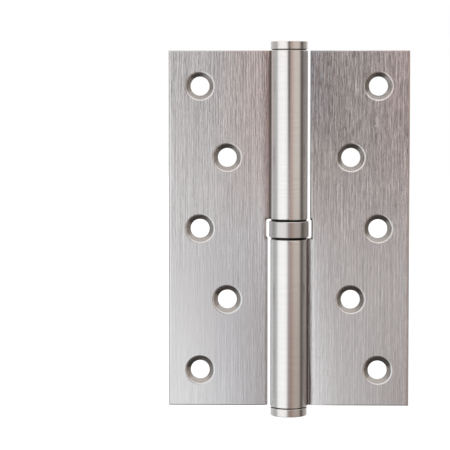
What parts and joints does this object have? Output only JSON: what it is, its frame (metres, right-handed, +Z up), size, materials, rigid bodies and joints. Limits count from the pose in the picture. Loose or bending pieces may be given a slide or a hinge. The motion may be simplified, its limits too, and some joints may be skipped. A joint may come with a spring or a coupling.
{
  "type": "mortise hinge",
  "caption": "Lift-off mortise hinge, open flat: countersunk leaves with curled knuckles on a fixed pin, a ring bearing between the knuckles and flat end caps.",
  "frame": {"origin": "on the pin's axis, halfway up the leaves", "axes": "+Z up along the pin; +X from the pin to the frame leaf; +Y from the countersunk faces to the backs of the open leaves"},
  "size_m": [0.081, 0.0132, 0.126],
  "materials": {
    "leaf_nickel": "satin nickel plate, brushed along the pin",
    "turned_nickel": "satin nickel plate on turned metal",
    "bare_steel": "ground steel"
  },
  "bodies": {
    "frame_side": {"frame_leaf": "leaf_nickel", "pivot_pin": "bare_steel", "bottom_cap": "turned_nickel", "bearing_shell": "turned_nickel", "bearing_lower_race": "bare_steel"},
    "ball_ring": {"bearing_ball_01": "bare_steel", "bearing_ball_02": "bare_steel", "bearing_ball_03": "bare_steel", "bearing_ball_04": "bare_steel", "bearing_ball_05": "bare_steel", "bearing_ball_06": "bare_steel", "bearing_ball_07": "bare_steel", "bearing_ball_08": "bare_steel", "bearing_ball_09": "bare_steel", "bearing_ball_10": "bare_steel", "bearing_ball_11": "bare_steel", "bearing_ball_12": "bare_steel", "bearing_ball_13": "bare_steel", "bearing_ball_14": "bare_steel"},
    "race_side": {"bearing_upper_race": "bare_steel"},
    "door_side": {"door_leaf": "leaf_nickel", "top_cap": "turned_nickel"}
  },
  "joints": [
    {"name": "leaf_swing", "type": "hinge", "parent": "frame_side", "child": "race_side", "pos_m": [0, 0, 0], "axis": [0, 0, 1], "range_deg": [-120, 180]},
    {"name": "leaf_lift", "type": "slide", "parent": "race_side", "child": "door_side", "axis": [0, 0, 1], "range_m": [0, 0.052]},
    {"name": "ball_orbit", "type": "hinge", "parent": "frame_side", "child": "ball_ring", "pos_m": [0, 0, 0], "axis": [0, 0, 1], "range_deg": [-60, 90]}
  ],
  "couplings": [
    {"joint": "ball_orbit", "follows": "leaf_swing", "ratio": 0.5}
  ]
}
